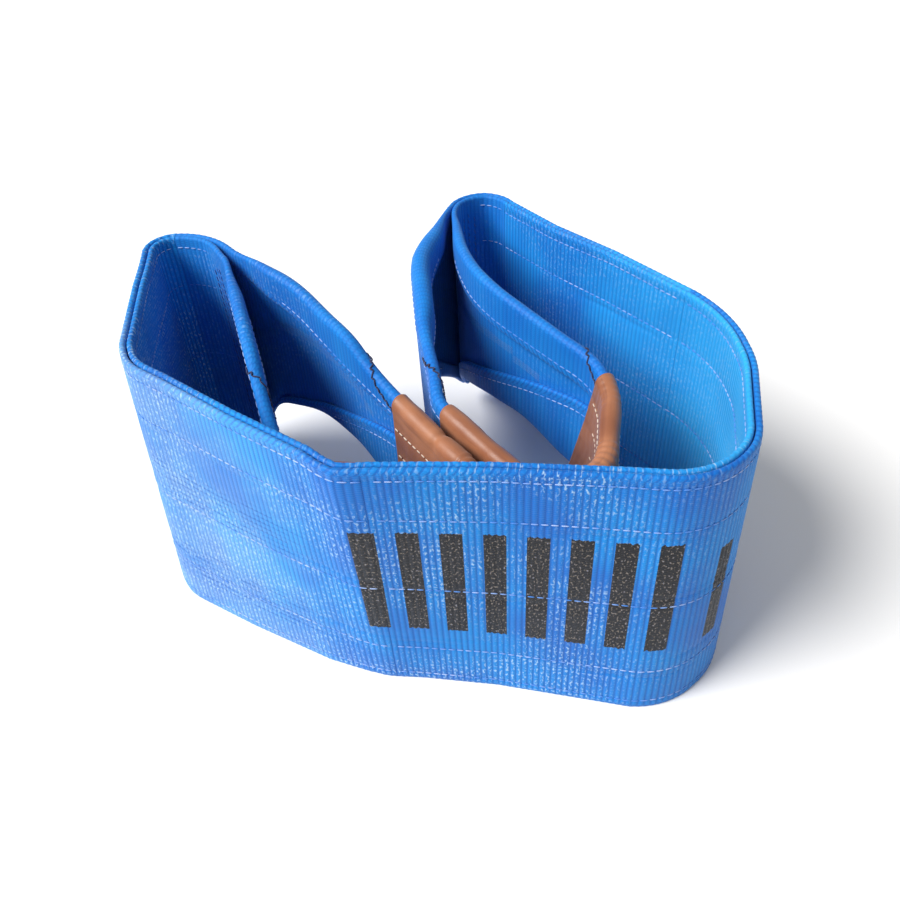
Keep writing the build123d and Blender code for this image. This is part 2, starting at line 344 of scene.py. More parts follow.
FINE_STEP, COARSE_STEP = 11.0, 24.0
GROOVE_HALF = 1.7
EDGE_ROWS = (3.0, 5.0, 7.0)
LEAST_STEP = 0.9


def body_rows(fine):
    """Heights at which the rings of a body stretch are sampled on one face."""
    rows = list(np.arange(14.0, WEB_WIDTH - 10, FINE_STEP if fine else COARSE_STEP))
    if fine:
        for row in THREAD_ROWS + CREASE_ROWS:
            rows += [row - GROOVE_HALF, row, row + GROOVE_HALF]
    for row in EDGE_ROWS:
        rows += [row, WEB_WIDTH - row]
    rows = sorted(rows)
    kept = [rows[0]]
    for row in rows[1:]:
        if row - kept[-1] > LEAST_STEP:
            kept.append(row)
    return np.array(kept)


# Turns of the rounded edge from one face of the webbing to the other
CAP = np.linspace(-pi / 2, pi / 2, 7)[1:-1]
CREASE_SEED = 40


def groove(w, s):
    """Depth of the sunken rows of stitching, and of the creases that run beside them."""
    depth = np.zeros(np.broadcast(w, s).shape)
    for row in THREAD_ROWS:
        depth = depth + 0.5 * np.exp(-(((w - row) / 1.5) ** 2))
    most_creased = 1.2 * smooth(430, 330, s) * smooth(190, 240, s)
    for number, row in enumerate(CREASE_ROWS):
        shown = smooth(-0.1, 0.7, wander(s, CREASE_SEED + number, 190.0, 1.6) + most_creased)
        depth = depth + 0.7 * shown * np.exp(-(((w - row) / 1.6) ** 2))
    return depth


def place(x, y, heading, offset, z):
    """Points at an offset to the left of a line in plan."""
    return np.stack([x - np.sin(heading) * offset, y + np.cos(heading) * offset, z], -1)


def fill_mesh(name, points, loops, totals, uv, material):
    """A mesh from points in millimetres and its faces' corners, with a weave map."""
    mesh = bpy.data.meshes.new(name)
    mesh.vertices.add(len(points))
    mesh.vertices.foreach_set("co", (points * MM).astype(np.float32).ravel())
    mesh.loops.add(len(loops))
    mesh.loops.foreach_set("vertex_index", loops.astype(np.int32))
    mesh.polygons.add(len(totals))
    mesh.polygons.foreach_set("loop_start", (np.cumsum(totals) - totals).astype(np.int32))
    mesh.polygons.foreach_set("loop_total", totals.astype(np.int32))
    mesh.polygons.foreach_set("use_smooth", np.ones(len(totals), bool))
    layer = mesh.uv_layers.new(name="weave")
    layer.data.foreach_set("uv", (uv[loops] * MM).astype(np.float32).ravel())
    mesh.update(calc_edges=True)
    mesh.validate()
    mesh.materials.append(material)
    obj = bpy.data.objects.new(mesh.name, mesh)
    bpy.context.scene.collection.objects.link(obj)
    return obj


def loft(name, rings, u, v, material):
    """One closed skin through rings of points, with a face over each end."""
    count, size = rings.shape[:2]
    index = np.arange(count * size).reshape(count, size)
    after = np.roll(index, -1, axis=1)
    quads = np.stack([index[:-1], after[:-1], after[1:], index[1:]], -1).reshape(-1, 4)
    points = rings.reshape(-1, 3)
    caps = np.stack([index[0][::-1], index[-1]])
    a, b, c = points[quads[:, 0]], points[quads[:, 1]], points[quads[:, 2]]
    if np.einsum("ij,ij->i", a, np.cross(b, c)).sum() < 0:
        quads, caps = quads[:, ::-1], caps[:, ::-1]
    loops = np.concatenate([quads.ravel(), caps.ravel()])
    totals = np.concatenate([np.full(len(quads), 4), [size, size]])
    uv = np.stack(np.broadcast_arrays(u, v), -1).reshape(-1, 2)
    return fill_mesh(name, points, loops, totals, uv, material)


def web_stand(s, width, outside, grooves):
    """How far a ply's skin stands off its middle: ribs on the faces, a twist on the edges."""
    edge = np.minimum(width, WEB_WIDTH - width)
    corded = smooth(CORD_START, CORD_FULL, edge)
    turn = 2 * pi * s / TWIST_PITCH + TWIST_SLANT * edge * np.where(outside > 0, 1, -1)
    twist = WEB_HALF + 0.1 + TWIST_HEIGHT * (0.5 + 0.5 * np.sin(turn))
    ribs = WEB_HALF + rib_rise(s) - grooves
    return ribs * (1 - corded) + twist * corded


def body_rings(ply, low, high):
    """Rings of a flat stretch of one ply, and their weave map."""
    s = stations(low, high)[:, None]
    outer, inner = body_rows(True), body_rows(False)[::-1]
    out, back, cap = (np.ones(len(part)) for part in (outer, inner, CAP))
    z, look_n, look_z, width, faces_in = (
        np.concatenate(parts)[None, :]
        for parts in (
            (outer, (WEB_WIDTH - WEB_HALF) * cap, inner, WEB_HALF * cap),
            (out, -np.sin(CAP), -back, np.sin(CAP)),
            (0 * out, np.cos(CAP), 0 * back, -np.cos(CAP)),
            (outer, WEB_WIDTH + CAP, inner, -CAP),
            (0 * out, 0 * cap, back, 0 * cap),
        )
    )
    stand = web_stand(s, width, look_n, groove(width, s))
    stand = np.where(faces_in > 0, np.minimum(stand, INNER_STAND), stand)
    x, y, heading = ply.at(s)
    offset = ply.side * (PLY / 2 + look_n * stand) + lean(s, z)
    height = np.clip((z + look_z * stand) * curl_scale(s), FLOOR_GAP, None)
    return place(x, y, heading, offset, height), s, width


# Rows of points round a folded leg, and where past the throat its folds start and are whole
LEG_ROWS = 15
FOLD_TURNS = np.linspace(0, pi, 9)[1:-1]
FLAP_SHARES = np.concatenate([[0.0, 0.06, 0.12, 0.2, 0.3], np.linspace(0.42, 1.0, 6)])
FOLD_START, FOLD_WHOLE = 14.0, 62.0
FLAT_RADIUS = 0.3
# How much the webbing in a sleeve is drawn in, and the least room at a flap's edge and between flaps
SLEEVE_INSET = 2.5
EDGE_ROOM, FLAP_ROOM = 1.5, 6.0
# How far thread lies off the webbing's middle surface
THREAD_STAND = WEB_HALF + 0.35


class Leg:
    """Heights and folds of a ply's leg at rings s, the body's end of it lying flat."""

    def __init__(self, ply, s, puff):
        self.ply = ply
        self.s = s
        self.x, self.y, self.heading = ply.at(s)
        self.past = ply.leg_distance(s)
        share = ply.share(s, self.y)
        flat_top = (WEB_WIDTH - WEB_HALF) * curl_scale(s)
        top = ply.upper_edge(s, share) - WEB_HALF
        self.hidden = ply.in_sleeve(s)
        inset = SLEEVE_INSET * self.hidden
        self.top = flat_top + (top - flat_top) * smooth(0, 40, self.past) - inset
        bottom = ply.lower_edge(s, share) + WEB_HALF + inset
        folded = smooth(FOLD_START, FOLD_WHOLE, self.past)
        self.radius = FLAT_RADIUS + (PLY / 2 - FLAT_RADIUS) * folded
        puffed = puff * folded * smooth(0.0, 0.25, share) * smooth(0.62, 0.45, share)
        self.upper_radius = self.radius + puffed
        self.high = self.top - self.upper_radius
        self.low = bottom + self.radius
        self.upper_end = np.minimum(curve(UPPER_FLAP_EDGE, share), self.high - EDGE_ROOM)
        left, right = (curve(edge, share) for edge in (LEFT_LOWER_FLAP_EDGE, RIGHT_LOWER_FLAP_EDGE))
        lower_end = np.minimum(np.where(s < BODY_END / 2, left, right), self.upper_end - FLAP_ROOM)
        self.lower_end = np.maximum(lower_end, self.low + EDGE_ROOM)

    def middle_line(self):
        """Offsets away from the eye, heights and looks of the middle of the folded ply, from the
        lower flap's free edge round both folds to the upper flap's."""
        middle = PLY / 2
        lower_n, upper_n = middle - 2 * self.radius, middle - 2 * self.upper_radius
        rows = [(lower_n, self.lower_end + (self.low - self.lower_end) * a, -1, 0) for a in FLAP_SHARES]
        for a in FOLD_TURNS:
            n, z = middle - self.radius * (1 + cos(a)), self.low - self.radius * sin(a)
            rows.append((n, z, -cos(a), -sin(a)))
        for up in np.linspace(0, 1, LEG_ROWS):
            rows.append((middle, self.low + (self.high - self.low) * up, 1, 0))
        for a in FOLD_TURNS:
            n, z = middle - self.upper_radius * (1 - cos(a)), self.high + self.upper_radius * sin(a)
            rows.append((n, z, cos(a), sin(a)))
        for a in FLAP_SHARES[::-1]:
            rows.append((upper_n, self.upper_end + (self.high - self.upper_end) * a, -1, 0))
        column = np.ones_like(self.low)
        return [np.concatenate([part * column for part in parts], axis=1) for parts in zip(*rows)]

    def on_face(self, height, flap):
        """Points on a leg's face at a height: on a flap, or on the face that looks away."""
        if flap:
            radius = np.where(height > (self.low + self.high) / 2, self.upper_radius, self.radius)
            offset = PLY / 2 - 2 * radius - THREAD_STAND
        else:
            offset = PLY / 2 + THREAD_STAND + 0 * height
        return self.put(offset, height)

    def put(self, offset, height):
        """Points at offsets away from the eye, with the leg's belly and lean added."""
        beyond = offset + self.ply.splay(self.s, height)
        beyond = self.ply.side * beyond + lean(self.s, height) * smooth(60, 0, self.past)
        return place(self.x, self.y, self.heading, beyond, height)


def leg_rings(ply, low, high, puff):
    """Rings of a folded leg of one ply and its flat end on the body, and their weave map."""
    s = stations(low, high)[:, None]
    leg = Leg(ply, s, puff)
    n, z, look_n, look_z = leg.middle_line()
    steps = np.hypot(np.diff(n, axis=1), np.diff(z, axis=1))
    width = np.concatenate([np.zeros_like(s), np.cumsum(steps, axis=1)], axis=1)
    total = width[:, -1:]
    from_edge = np.where(width < total / 2, width, WEB_WIDTH - (total - width))
    apex = len(FLAP_SHARES) + len(FOLD_TURNS) // 2
    to_fold = np.abs(np.minimum(width - width[:, apex : apex + 1], width[:, -apex - 1 : -apex] - width))
    # The folds take over from the flat end's corded edges, and the ribs lie lower on them
    is_leg = smooth(0, 30, leg.past)
    edge = np.minimum(np.minimum(from_edge, WEB_WIDTH - from_edge), to_fold + 60 * is_leg)
    eased = (0.5 + 0.42 * smooth(12, 3, to_fold)) * is_leg
    outer = web_stand(s, edge, np.ones_like(edge), eased * rib_rise(s)) - 0.5 * leg.hidden
    inner = np.where(leg.past > 8, outer, np.minimum(outer, INNER_STAND))
    first, last = np.s_[:, :1], np.s_[:, -1:]
    end_n = n[last] + look_n[last] * -np.sin(CAP) * outer[last]
    start_n = n[first] + look_n[first] * np.sin(CAP) * outer[first]
    end_z, start_z = z[last] - np.cos(CAP) * outer[last], z[first] + np.cos(CAP) * outer[first]
    back_n, back_z = (n - look_n * inner)[:, ::-1], (z - look_z * inner)[:, ::-1]
    ring_n = np.concatenate([n + look_n * outer, end_n, back_n, start_n], axis=1)
    ring_z = np.concatenate([z + look_z * outer, end_z, back_z, start_z], axis=1)
    end_w, start_w = (np.repeat(from_edge[part], len(CAP), axis=1) for part in (last, first))
    ring_w = np.concatenate([from_edge, end_w, from_edge[:, ::-1], start_w], axis=1)
    return leg.put(ring_n, np.clip(ring_z, FLOOR_GAP, None)), s, ring_w


# Sleeves. Both take the left eye's lower edge, as the two eyes' edges are alike that near the tips.
SLEEVE_HALF = 7.9
SLEEVE_WALL = 2.2
SLEEVE_LAP = 2.4
SLEEVE_SIDE_ROWS = 18
SLEEVE_TURNS = np.linspace(0, pi, 11)[1:-1]
SLEEVE_ROW = 7.0
SLEEVE_THREAD_ROWS = (24.0, 50.0, 76.0)


def sleeve_top(eye, d, share):
    """Height of the top of the webbing in a sleeve, which passes from one leg to the other."""
    if eye is right_eye:
        return curve(RIGHT_TOP, share)
    passed = smooth(eye.legs[0].length - 20, eye.legs[0].length + 20, d)
    return curve(FAR_TOP, share) * (1 - passed) + curve(NEAR_TOP, share) * passed


def sleeve_belly(eye, d, z):
    """The legs' belly, carried on into the sleeve; to the left of the loop."""
    first = BODY_END + d if eye is right_eye else -d
    second = BODY_END + (eye.loop.length - d) if eye is right_eye else d - eye.loop.length
    return eye.outward * (plies[0].splay(first, z) + plies[1].splay(second, z))


def sleeve_folds(d, z, side):
    """The leather's slow waves, which its thread follows."""
    return wander(z + 0.15 * d, 3, 46.0, 1.3) * side * 0.5 + wander(d, 5, 60.0, 0.9)


def sleeve_rings(eye, crease, skew):
    """Rings of the leather sleeve round the whole bearing, its ends turned in."""
    start, end = eye.sleeve_start(0), eye.loop.length - eye.sleeve_start(1)
    body = np.linspace(start + 0.8, end - 0.8, int((end - start) / 1.3))
    d = np.concatenate([[start + 14, start + 0.2, start], body, [end, end - 0.2, end - 14]])[:, None]
    stand = np.full(d.shape, SLEEVE_HALF)
    stand[:2] -= SLEEVE_WALL
    stand[-2:] -= SLEEVE_WALL
    stand[2] -= SLEEVE_WALL / 3
    stand[-3] -= SLEEVE_WALL / 3
    skin = np.ones(d.shape)
    skin[:3], skin[-3:] = 0, 0
    _, y, heading = eye.loop.at(d)
    share = eye.share(y)
    top = sleeve_top(eye, d, share) + SLEEVE_LAP - SLEEVE_HALF
    bottom = curve(LEFT_BOTTOM, share) - SLEEVE_LAP + SLEEVE_HALF
    ups = np.linspace(0, 1, SLEEVE_SIDE_ROWS)
    rows = [(bottom + (top - bottom) * up, 1, 0) for up in ups]
    rows += [(top, cos(a), sin(a)) for a in SLEEVE_TURNS]
    rows += [(bottom + (top - bottom) * up, -1, 0) for up in ups[::-1]]
    rows += [(bottom, -cos(a), -sin(a)) for a in SLEEVE_TURNS]
    column = np.ones_like(d)
    z, look_n, look_z = (np.concatenate([p * column for p in parts], axis=1) for parts in zip(*rows))
    around = np.arange(z.shape[1])[None, :] * SLEEVE_ROW
    folds = sleeve_folds(d, z, look_n)
    grain = 0.35 * np.sin(around * 0.9 + wander(d, 6, 30.0, 3.0)) * skin
    bent = np.abs(np.gradient(heading[:, 0], d[:, 0], edge_order=1))[:, None]
    bent = np.where(skin > 0, np.clip(bent * 30, 0, 1), 0)
    wrinkles = 0.55 * np.sin(2 * pi * d / 6.1 + wander(z, 8, 40.0, 3.0)) * bent
    pressed = np.exp(-(((d - crease - 0.5 * (z - top)) / 3.2) ** 2)) * smooth(-16, 2, z - top)
    rise = stand + skin * (folds * 0.6 + grain + wrinkles - 1.5 * pressed)
    pulled = d + skew * np.clip((top - z) / 110, 0, 1.1) * smooth(end - 55, end, d)
    x, y, heading = eye.loop.at(pulled)
    rings = place(x, y, heading, look_n * rise + sleeve_belly(eye, d, z), z + look_z * rise)
    return rings, d, around


# Thread
BEAD_PLACES = (-0.5, -0.36, 0.0, 0.36, 0.5)
BEAD_SIZES = (0.35, 0.8, 1.0, 0.8, 0.35)
BEAD_SIDES = 6


def sew(name, rows, thickness, material):
    """One piece of thread from rows of (starts, ends, ups): a bead for each stitch, on a face that
    looks up."""
    starts, ends, ups = (np.concatenate([row.reshape(-1, 3) for row in part]) for part in zip(*rows))
    along = ends - starts
    across = np.cross(along, ups)
    across /= np.linalg.norm(across, axis=1)[:, None]
    up = np.cross(across, along)
    up /= np.linalg.norm(up, axis=1)[:, None]
    middle = (starts + ends) / 2
    points, map_u = [], []
    for place_along, size in zip(BEAD_PLACES, BEAD_SIZES):
        for side in range(BEAD_SIDES):
            a = 2 * pi * side / BEAD_SIDES
            around = (across * cos(a) + up * sin(a)) * thickness / 2 * size
            points.append(middle + along * place_along + around)
            map_u.append((place_along, side))
    points = np.stack(points, 1)
    count, size = points.shape[:2]
    grid = np.arange(size).reshape(len(BEAD_PLACES), BEAD_SIDES)
    after = np.roll(grid, -1, axis=1)
    quads = np.stack([grid[:-1], after[:-1], after[1:], grid[1:]], -1).reshape(-1, 4)
    first = np.arange(count)[:, None] * size
    corners = (quads.reshape(1, -1), grid[:1, ::-1], grid[-1:])
    loops = np.concatenate([(first + part).ravel() for part in corners])
    totals = np.concatenate([np.full(count * len(quads), 4), np.full(2 * count, BEAD_SIDES)])
    uv = np.tile(np.array(map_u, float), (count, 1))
    return fill_mesh(name, points.reshape(-1, 3), loops, totals, uv, material)


STITCH_PITCH, STITCH_LENGTH = 6.6, 4.9
SLEEVE_PITCH, SLEEVE_STITCH = 5.4, 3.9
# The rows across an eye's foot: how far from the throat, and between which heights
CROSS_ROWS = (9.0, 16.0, 23.0)
CROSS_LOW, CROSS_HIGH = 15.0, 222.0
CROSS_DRIFT = 1.4


def looks_of(heading, side):
    """The way that a wall's left or right face looks."""
    return np.stack([-np.sin(heading) * side, np.cos(heading) * side, 0 * heading], -1)


def body_stitches(ply, low, high):
    """Rows of stitches along a flat stretch, on the face that looks away from the other ply."""
    for number, row in enumerate(THREAD_ROWS):
        s = np.arange(low + 2.0 + number, high - STITCH_LENGTH, STITCH_PITCH)
        wave = row + wander(s, 70 + number, 160.0, 1.2)
        ends = []
        for at in (s, s + STITCH_LENGTH):
            x, y, heading = ply.at(at)
            offset = ply.side * (PLY / 2 + WEB_HALF + 0.2 + ply.splay(at, wave)) + lean(at, wave)
            ends.append(place(x, y, heading, offset, wave * curl_scale(at)))
        sewn = wave > ply.lower_edge(s, 0.0) + 7
        yield ends[0][sewn], ends[1][sewn], looks_of(heading, ply.side)[sewn]


def leg_stitches(ply, low, high, puff, pick, flap):
    """A row of stitches along a leg; pick gives its height from the leg's folds."""
    s = np.arange(low, high, STITCH_PITCH)[:, None]
    ends, side = [], -ply.side if flap else ply.side
    for at in (s, s + STITCH_LENGTH):
        leg = Leg(ply, at, puff)
        ends.append(leg.on_face(pick(leg), flap))
    held = (pick(leg) > leg.low + 3)[:, 0]
    return ends[0][held], ends[1][held], looks_of(leg.heading, side)[held]


def cross_stitches(ply, places):
    """Rows of stitches up the web, across the foot of an eye."""
    for at in places:
        low = max(CROSS_LOW, float(ply.lower_edge(at, 0.0)) + 14)
        z = np.arange(low, CROSS_HIGH, STITCH_PITCH)
        s = np.full(z.shape, at)
        ends = []
        for height, drift in ((z, 0.0), (z + STITCH_LENGTH, CROSS_DRIFT)):
            offset = ply.side * (PLY / 2 + THREAD_STAND + ply.splay(s, height)) + lean(s, height)
            x, y, heading = ply.at(s + drift)
            ends.append(place(x, y, heading, offset, height))
        yield *ends, looks_of(heading, ply.side)


# How far before the sleeve each closing seam starts and ends
CLOSING = {
    "left_eye_far": (54.0, 0.0),
    "left_eye_near": (92.0, 52.0),
    "right_eye_outer": (62.0, 0.0),
    "right_eye_inner": (40.0, 0.0),
}
CLOSING_STEP = 2.6
CLOSING_SWING = 0.9


def closing_stitches(ply, low, high, puff):
    """The zigzag that crosses a leg's rolled top, from its outer side to its inner face."""
    s = np.arange(low, high, CLOSING_STEP if low < high else -CLOSING_STEP)[:, None]
    leg = Leg(ply, s, puff)
    along = np.linspace(0, 1, len(s))[:, None]
    swing = CLOSING_SWING * np.where(np.arange(len(s))[:, None] % 2 == 0, 1, -1)
    travel = -3.0 + (pi * leg.upper_radius + 11.0) * along + swing
    turn = np.clip(travel / leg.upper_radius, 0, pi)
    stand = WEB_HALF + RIB_HEIGHT + 0.35
    n = PLY / 2 - leg.upper_radius * (1 - np.cos(turn)) + np.cos(turn) * stand
    z = leg.high + np.sin(turn) * (leg.upper_radius + stand)
    z = z + np.minimum(travel, 0) - np.maximum(travel - pi * leg.upper_radius, 0)
    points = leg.put(n, z)[:, 0]
    ups = looks_of(leg.heading, ply.side)[:, 0] * np.cos(turn) + np.array([0, 0, 1.0]) * np.sin(turn)
    return points[:-1], points[1:], ups[:-1]


def sleeve_stitches(eye):
    """Rows of stitches along both faces of a sleeve."""
    start, end = eye.sleeve_start(0), eye.loop.length - eye.sleeve_start(1)
    for number, drop in enumerate(SLEEVE_THREAD_ROWS):
        for side in (-1, 1):
            s = np.arange(start + 3 + number, end - 5, SLEEVE_PITCH)[:, None]
            ends = []
            for at in (s, s + SLEEVE_STITCH):
                x, y, heading = eye.loop.at(at)
                z = sleeve_top(eye, at, eye.share(y)) - drop
                stand = SLEEVE_HALF + 0.45 + 0.6 * sleeve_folds(at, z, side)
                offset = side * stand + sleeve_belly(eye, at, z)
                ends.append(place(x, y, heading, offset, z))
            yield *ends, looks_of(heading, side)


# Materials
class Nodes:
    """Builds one procedural material, a node at a time."""

    def __init__(self, name, **constants):
        self.material = bpy.data.materials.new(name)
        self.material.use_nodes = True
        self.tree = self.material.node_tree
        self.shader = self.tree.nodes["Principled BSDF"]
        for socket, value in constants.items():
            self.shader.inputs[socket.replace("_", " ")].default_value = value

    def wire(self, value, socket):
        if isinstance(value, bpy.types.NodeSocket):
            self.tree.links.new(value, socket)
        else:
            socket.default_value = value

    def math(self, operation, a, b=0.0, c=0.0):
        node = self.tree.nodes.new("ShaderNodeMath")
        node.operation = operation
        for value, socket in zip((a, b, c), node.inputs):
            self.wire(value, socket)
        return node.outputs[0]

    def times(self, first, *others):
        for other in others:
            first = self.math("MULTIPLY", first, other)
        return first

    def plus(self, a, b):
        return self.math("ADD", a, b)

    def distance(self, value, place):
        return self.math("ABSOLUTE", self.math("SUBTRACT", value, place))

    def within(self, value, low, high):
        """1 between two places in millimetres."""
        return self.math("COMPARE", value, (low + high) / 2 * MM, (high - low) / 2 * MM)

    def band(self, value, rise, full, fall, gone):
        """1 from full to fall, and 0 before rise and after gone."""
        return self.times(self.ramp(value, rise, full), self.ramp(value, gone, fall))

    def ramp(self, value, low, high, to_low=0.0, to_high=1.0):
        node = self.tree.nodes.new("ShaderNodeMapRange")
        node.interpolation_type = "SMOOTHSTEP"
        for part, socket in zip((value, low, high, to_low, to_high), node.inputs):
            self.wire(part, socket)
        return node.outputs["Result"]

    def weave_map(self):
        node = self.tree.nodes.new("ShaderNodeUVMap")
        node.uv_map = "weave"
        parts = self.tree.nodes.new("ShaderNodeSeparateXYZ")
        self.tree.links.new(node.outputs[0], parts.inputs[0])
        return parts.outputs[0], parts.outputs[1]

    def point(self, x, y, z):
        node = self.tree.nodes.new("ShaderNodeCombineXYZ")
        for value, socket in zip((x, y, z), node.inputs):
            self.wire(value, socket)
        return node.outputs[0]

    def object_point(self):
        return self.tree.nodes.new("ShaderNodeTexCoord").outputs["Object"]

    def noise(self, vector, scale, detail=2.0):
        node = self.tree.nodes.new("ShaderNodeTexNoise")
        self.wire(vector, node.inputs["Vector"])
        node.inputs["Scale"].default_value = scale
        node.inputs["Detail"].default_value = detail
        return node.outputs["Fac"]

    def spots(self, u, v, per_u, per_v, slice_at=0.0, detail=2.0):
        """Noise with a grain of its own along and across a surface."""
        where = self.point(self.times(u, per_u), self.times(v, per_v), slice_at)
        return self.noise(where, 1.0, detail)

    def cells(self, vector, scale):
        node = self.tree.nodes.new("ShaderNodeTexVoronoi")
        self.wire(vector, node.inputs["Vector"])
        node.inputs["Scale"].default_value = scale
        return node.outputs["Distance"]

    def mix(self, share, a, b):
        """Mixes two colours, whose sockets are the last two in and the last out."""
        node = self.tree.nodes.new("ShaderNodeMix")
        node.data_type = "RGBA"
        self.wire(share, node.inputs["Factor"])
        self.wire(a, node.inputs[6])
        self.wire(b, node.inputs[7])
        return node.outputs[2]

    def finish(self, colour, rough, height, distance, strength):
        """Wires up the colour, roughness and bump, and gives the material."""
        node = self.tree.nodes.new("ShaderNodeBump")
        node.inputs["Distance"].default_value = distance
        node.inputs["Strength"].default_value = strength
        self.wire(height, node.inputs["Height"])
        for value, socket in ((node.outputs[0], "Normal"), (colour, "Base Color"), (rough, "Roughness")):
            self.wire(value, self.shader.inputs[socket])
        return self.material


BLUE = (0.003, 0.145, 0.560, 1)
DEEP_BLUE = (0.002, 0.065, 0.340, 1)
BRIGHT_BLUE = (0.006, 0.290, 0.760, 1)
# Partly painted light: the brighter blue about the right bend
BEND_LIT_BLUE = (0.040, 0.520, 0.930, 1)
PALE = (0.380, 0.560, 0.740, 1)
INK = (0.012, 0.011, 0.013, 1)
WORN_INK = (0.230, 0.190, 0.150, 1)
# The print: a run of bars and a patch, in millimetres along and up the front
BARS = 8
BAR_START, BAR_PITCH, BAR_WIDTH = 465.0, 29.2, 15.5
BAR_LOW, BAR_HIGH = 72.0, 182.0
MARK_START, MARK_END, MARK_LOW, MARK_HIGH = 716.0, 731.0, 66.0, 164.0
# Pitch of the twisted yarn up the webbing, and of the dark rows painted as shade in the front's creases
YARN = 1.7
CREASE_PITCH = 5.2


def front_painted_sheen_and_shade(n, u, v, patch, base):
    """Painted sheen as a pale patch on the left of the front, painted shade as dark fine creases there,
    and a deeper blue past them.
    """
    # Painted sheen: a pale patch on the left of the front, where light shines off the cloth
    painted_sheen = n.band(u, 0.17, 0.24, 0.36, 0.47)
    base = n.mix(n.times(painted_sheen, n.ramp(patch, 0.2, 0.7, 0.08, 0.26)), base, PALE)
    # Painted shade: fine dark rows in groups, standing for the shade in the creases on the left of the
    # front
    rows = n.ramp(n.math("SINE", n.times(v, 2 * pi / (CREASE_PITCH * MM))), 0.35, 0.95)
    groups = n.plus(n.band(v, 0.022, 0.032, 0.066, 0.076), n.band(v, 0.118, 0.126, 0.156, 0.166))
    broken = n.ramp(n.spots(u, v, 60.0, 150.0, 6.3, 1.0), 0.35, 0.6, 0.1, 0.55)
    base = n.mix(n.times(groups, n.ramp(u, 0.46, 0.38), rows, broken), base, DEEP_BLUE)
    return n.mix(n.ramp(u, 0.45, 0.53, 0.0, 0.22), base, DEEP_BLUE)


def front_print(n, u, v, base):
    """The bars and the patch, their ends uneven and their ink flecked."""
    along = n.math("DIVIDE", n.math("SUBTRACT", u, BAR_START * MM), BAR_PITCH * MM)
    in_bar = n.math("LESS_THAN", n.math("FRACT", along), BAR_WIDTH / BAR_PITCH)
    in_run = n.math("COMPARE", along, BARS / 2, BARS / 2)
    uneven = n.math("SUBTRACT", n.spots(u, v, 400.0, 0.0), 0.5)
    height = n.plus(v, n.times(uneven, 0.006))
    bars = n.times(in_bar, in_run, n.within(height, BAR_LOW, BAR_HIGH))
    mark = n.times(n.within(u, MARK_START, MARK_END), n.within(height, MARK_LOW, MARK_HIGH))
    flecks = n.spots(u, v, 620.0, 420.0, 5.0)
    ink = n.mix(n.ramp(flecks, 0.55, 0.7), INK, WORN_INK)
    shown = n.times(n.math("MAXIMUM", bars, mark), n.ramp(flecks, 0.66, 0.74, 1.0, 0.55))
    return n.mix(shown, base, ink)


